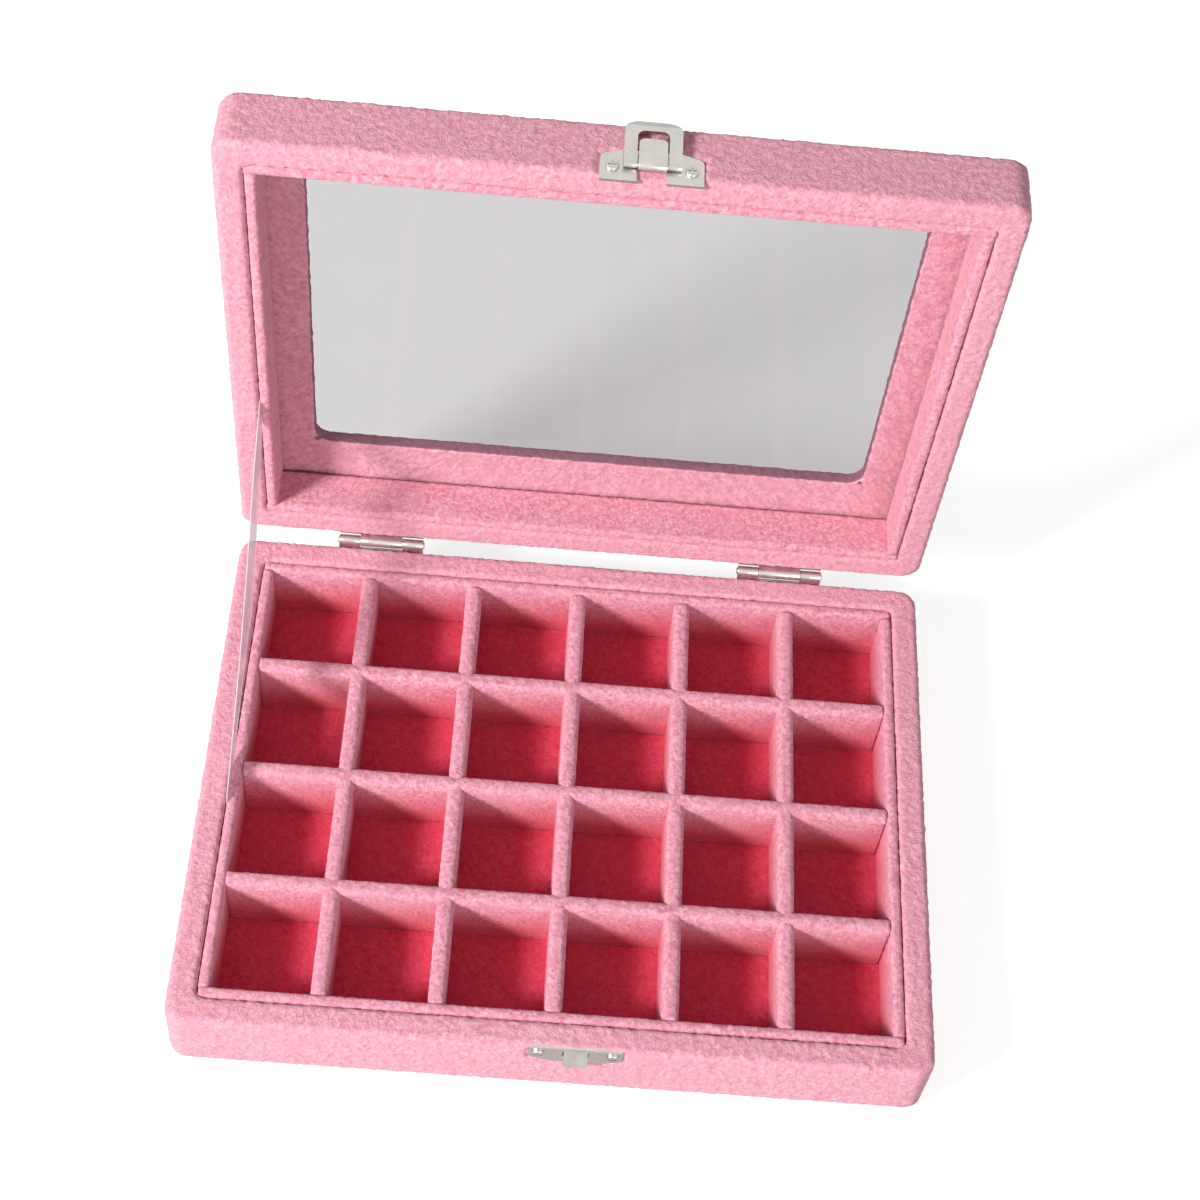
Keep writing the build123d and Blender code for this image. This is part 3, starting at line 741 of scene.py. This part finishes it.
for side in ("left", "right"):
    soften(f"hinge_{side}_base_leaf", "base", nickel, 0.10 * mm)
    soften(f"hinge_{side}_lid_leaf", "lid", nickel, 0.10 * mm)
    soften(f"hinge_{side}_pin", "base", pin_metal, 0.12 * mm)
soften("latch_plate", "lid", nickel, 0.12 * mm)
soften("latch_ring", "latch_ring", nickel, 0.14 * mm)
soften("catch_plate", "base", nickel, 0.12 * mm)

# %% Screws keep the model's shape
for node in ("hinge_base_screws", "hinge_lid_screws", "latch_screws", "catch_screws"):
    nodes[node].data.materials.clear()
    nodes[node].data.materials.append(screw_metal)

# %% [markdown]
# ## The pane
# The lid's pane is thin and clear with a faint dark tint, so over a white table it looks an even
# pale grey, and the tray still shows through it when the lid is shut. The tint lies on the
# pane's back face only, inside the window, with a sharp gloss on both faces for the glare.

# %% Pane
glass = bpy.data.materials.new("pane")
glass.use_nodes = True
nt = glass.node_tree
shader = nt.nodes["Principled BSDF"]
haze = spread(nt, object_noise(nt, 14, 3.0), 0.3, 0.7)
tint = mix_colours(nt, haze, (0.035, 0.020, 0.040, 1), (0.050, 0.032, 0.056, 1))
nt.links.new(tint, shader.inputs["Base Color"])
shader.inputs["Roughness"].default_value = 0.06
shader.inputs["IOR"].default_value = 1.5
place = nt.nodes.new("ShaderNodeTexCoord")
apart = nt.nodes.new("ShaderNodeSeparateXYZ")
nt.links.new(place.outputs["Object"], apart.inputs[0])
middle_z = swung_open((0, window_shift, 0))[2]
inside = None
for axis, middle, half in (("X", 0, window[0]), ("Z", middle_z, window[1])):
    away = nt.nodes.new("ShaderNodeMath")
    away.operation = "SUBTRACT"
    away.inputs[1].default_value = middle
    nt.links.new(apart.outputs[axis], away.inputs[0])
    size = nt.nodes.new("ShaderNodeMath")
    size.operation = "ABSOLUTE"
    nt.links.new(away.outputs[0], size.inputs[0])
    edge = nt.nodes.new("ShaderNodeMapRange")
    edge.inputs["From Min"].default_value = half + 0.3 * mm
    edge.inputs["From Max"].default_value = half - 0.1 * mm
    nt.links.new(size.outputs[0], edge.inputs["Value"])
    if inside is None:
        inside = edge.outputs["Result"]
    else:
        both = nt.nodes.new("ShaderNodeMath")
        both.operation = "MULTIPLY"
        nt.links.new(inside, both.inputs[0])
        nt.links.new(edge.outputs["Result"], both.inputs[1])
        inside = both.outputs[0]
rear = nt.nodes.new("ShaderNodeMath")
rear.operation = "GREATER_THAN"
rear.inputs[1].default_value = swung_open((0, 0, pane_level))[1] - 0.6 * mm
nt.links.new(apart.outputs["Y"], rear.inputs[0])
tinted = nt.nodes.new("ShaderNodeMath")
tinted.operation = "MULTIPLY"
nt.links.new(inside, tinted.inputs[0])
nt.links.new(rear.outputs[0], tinted.inputs[1])
body = nt.nodes.new("ShaderNodeMapRange")
body.inputs["To Min"].default_value = 0.02
body.inputs["To Max"].default_value = 0.46
nt.links.new(tinted.outputs[0], body.inputs["Value"])
nt.links.new(body.outputs["Result"], shader.inputs["Alpha"])
nodes["lid_pane"].data.materials.clear()
nodes["lid_pane"].data.materials.append(glass)

# %% [markdown]
# ## The stay
# A strap of clear film runs from the seam beside the tray to the seam in the lid and stops the lid
# from falling back. It is modelled as a flat strip along that line, with the slight bow that film
# keeps.

# %% Stay strap
film = bpy.data.materials.new("clear film")
film.use_nodes = True
nt = film.node_tree
shader = nt.nodes["Principled BSDF"]
cloud = spread(nt, object_noise(nt, 120, 2.0), 0.3, 0.7)
strap_tint = mix_colours(nt, cloud, (0.80, 0.77, 0.83, 1), (0.92, 0.90, 0.94, 1))
nt.links.new(strap_tint, shader.inputs["Base Color"])
shader.inputs["Roughness"].default_value = 0.18
shader.inputs["Alpha"].default_value = 0.55

stay_x = -92.2 * mm
stay_start = Vector((stay_x, -5.4 * mm, base_top))
stay_end = Vector(swung_open((stay_x, 24.4 * mm, lid_rim)))


def make_stay():
    """A thin flat strip with a slight bow and a tucked length at each end."""
    line = stay_end - stay_start
    along = line.normalized()
    across = Vector((0, -along.z, along.y))
    tuck, width, thick = 7.6 * mm, 7.8 * mm, 0.26 * mm
    total = line.length + 2 * tuck
    stations = 72
    verts, faces = [], []
    for i in range(stations + 1):
        t = i / stations
        place = stay_start + along * (total * t - tuck)
        bow = math.sin(math.pi * t) ** 2 * 0.8 * mm
        place = place + Vector((bow, 0, 0))
        twist = math.radians(11) * math.sin(math.pi * t) ** 1.5 * t * 1.3
        ease = min(1.0, math.sqrt(max(0.02, min(t, 1 - t) * stations / 1.5)))
        for a, b in ((-1, -1), (1, -1), (1, 1), (-1, 1)):
            flat = across * math.cos(twist) - Vector((math.sin(twist), 0, 0))
            verts.append(place + flat * (width / 2 * a * ease) + Vector((thick / 2 * b, 0, 0)))
    for i in range(stations):
        for k in range(4):
            n = (k + 1) % 4
            faces.append((i * 4 + k, i * 4 + n, i * 4 + 4 + n, i * 4 + 4 + k))
    faces.append((0, 1, 2, 3))
    last = stations * 4
    faces.append((last, last + 1, last + 2, last + 3))
    mesh = bpy.data.meshes.new("lid_stay_strap")
    mesh.from_pydata([tuple(v) for v in verts], [], faces)
    whole = bmesh.new()
    whole.from_mesh(mesh)
    bmesh.ops.recalc_face_normals(whole, faces=whole.faces)
    whole.to_mesh(mesh)
    whole.free()
    mesh.materials.append(film)
    strap = bpy.data.objects.new("lid_stay_strap", mesh)
    bpy.context.scene.collection.objects.link(strap)
    return strap


stay = make_stay()
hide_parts("lid_stay")
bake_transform(stay)

# %% [markdown]
# ## What the wraps hide
# The boards inside the wraps hardly ever show, but a cut-away or a missing wrap would show them,
# so they get the look of grey card. The sheet under the base is flocked paper.

# %% Boards and underside
card = bpy.data.materials.new("grey card")
card.use_nodes = True
nt = card.node_tree
shader = nt.nodes["Principled BSDF"]
fibres = spread(nt, object_noise(nt, 700, 4.0, 0.7), 0.3, 0.7)
card_tint = mix_colours(nt, fibres, (0.33, 0.29, 0.24, 1), (0.46, 0.41, 0.34, 1))
nt.links.new(card_tint, shader.inputs["Base Color"])
shader.inputs["Roughness"].default_value = 0.9

flock = bpy.data.materials.new("flocked paper")
flock.use_nodes = True
nt = flock.node_tree
shader = nt.nodes["Principled BSDF"]
grain = spread(nt, object_noise(nt, 1300, 3.0, 0.7), 0.3, 0.7)
flock_tint = mix_colours(nt, grain, (0.44, 0.10, 0.17, 1), (0.66, 0.22, 0.31, 1))
nt.links.new(flock_tint, shader.inputs["Base Color"])
shader.inputs["Roughness"].default_value = 0.95
shader.inputs["Sheen Weight"].default_value = 0.3
bump = nt.nodes.new("ShaderNodeBump")
bump.inputs["Distance"].default_value = 0.00015
nt.links.new(grain, bump.inputs["Height"])
nt.links.new(bump.outputs["Normal"], shader.inputs["Normal"])

for name, node in nodes.items():
    if name.endswith("board"):
        node.data.materials.clear()
        node.data.materials.append(card)
nodes["base_underside_sheet"].data.materials.clear()
nodes["base_underside_sheet"].data.materials.append(flock)
